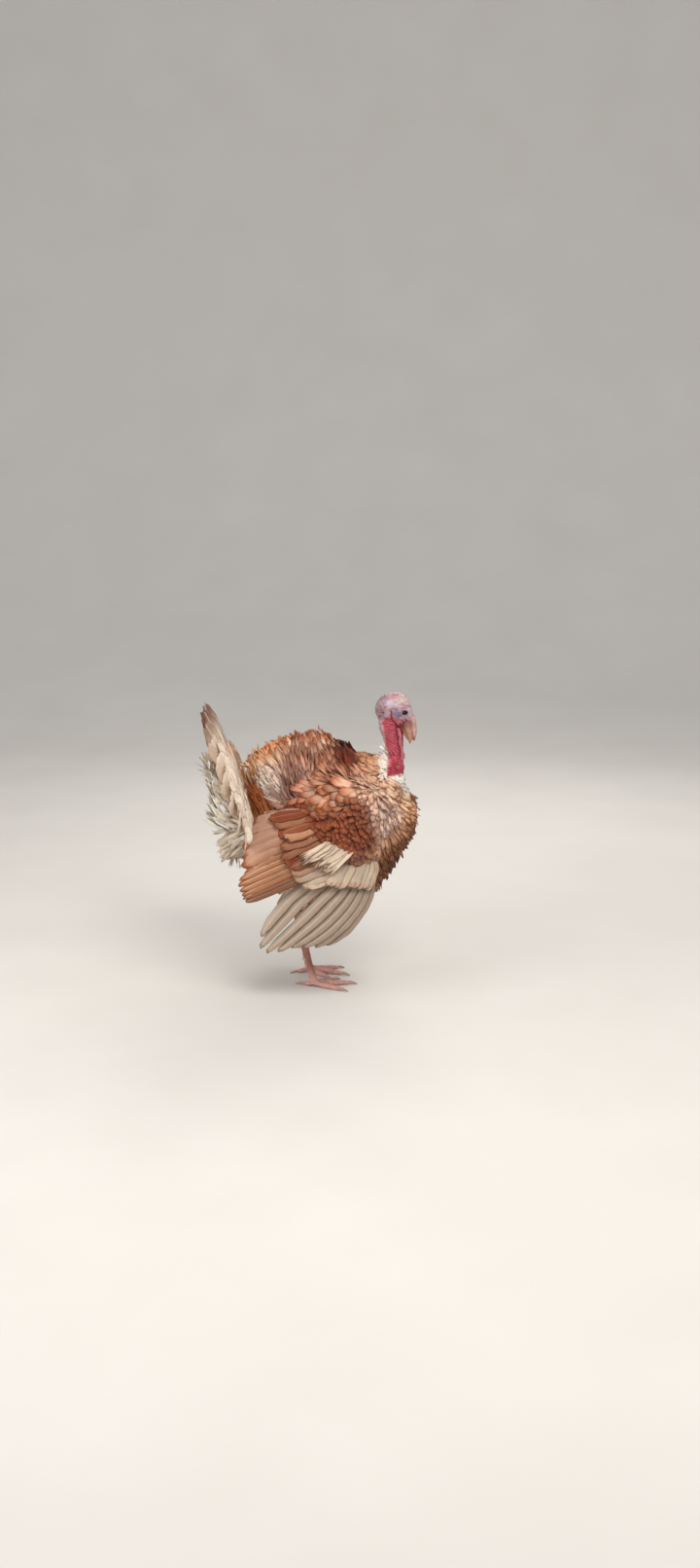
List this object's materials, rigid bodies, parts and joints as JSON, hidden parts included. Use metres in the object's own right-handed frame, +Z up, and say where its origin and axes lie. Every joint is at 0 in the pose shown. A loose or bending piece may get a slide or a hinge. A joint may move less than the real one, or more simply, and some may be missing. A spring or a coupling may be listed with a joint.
{
  "type": "domestic turkey",
  "caption": "Life-size standing domestic turkey tom with buff, rust and cream plumage, raised back feathers, lowered wings, fanned tail and bare red wattled neck.",
  "frame": {"origin": "on the floor, below the middle of the bounding box", "axes": "+X the way the bird faces, +Y its left side, +Z up"},
  "size_m": [0.5158, 0.5786, 0.7103],
  "materials": {
    "body_feathers": "soft feathers, buff and rust with cream",
    "wing_feathers": "smooth feathers, buff to orange tan",
    "pale_feathers": "feathers, cream white",
    "head_skin": "bare skin, pinkish white with a blue cast",
    "wattle_skin": "bare wrinkled skin, red",
    "leg_skin": "scaled skin, pinkish brown",
    "horn": "horn, tan to grey",
    "eye": "wet, very dark brown"
  },
  "bodies": {
    "root": {"bill_lower": "horn", "bill_upper": "horn", "claw_hind_left": "horn", "claw_hind_right": "horn", "claw_inner_left": "horn", "claw_inner_right": "horn", "claw_middle_left": "horn", "claw_middle_right": "horn", "claw_outer_left": "horn", "claw_outer_right": "horn", "dewlap": "wattle_skin", "eye_left": "eye", "eye_right": "eye", "head": "head_skin", "neck_bare": "wattle_skin", "neck_base": "pale_feathers", "primaries_left": "pale_feathers", "primaries_right": "pale_feathers", "secondaries_left": "wing_feathers", "secondaries_right": "wing_feathers", "shank_left": "leg_skin", "shank_right": "leg_skin", "snood": "wattle_skin", "spur_left": "horn", "spur_right": "horn", "tail_left": "pale_feathers", "tail_middle": "pale_feathers", "tail_right": "pale_feathers", "thigh_left": "pale_feathers", "thigh_right": "pale_feathers", "toe_hind_left": "leg_skin", "toe_hind_right": "leg_skin", "toe_inner_left": "leg_skin", "toe_inner_right": "leg_skin", "toe_middle_left": "leg_skin", "toe_middle_right": "leg_skin", "toe_outer_left": "leg_skin", "toe_outer_right": "leg_skin", "trunk": "body_feathers", "vent_fluff": "pale_feathers", "wing_arm_left": "body_feathers", "wing_arm_right": "body_feathers"}
  },
  "joints": []
}
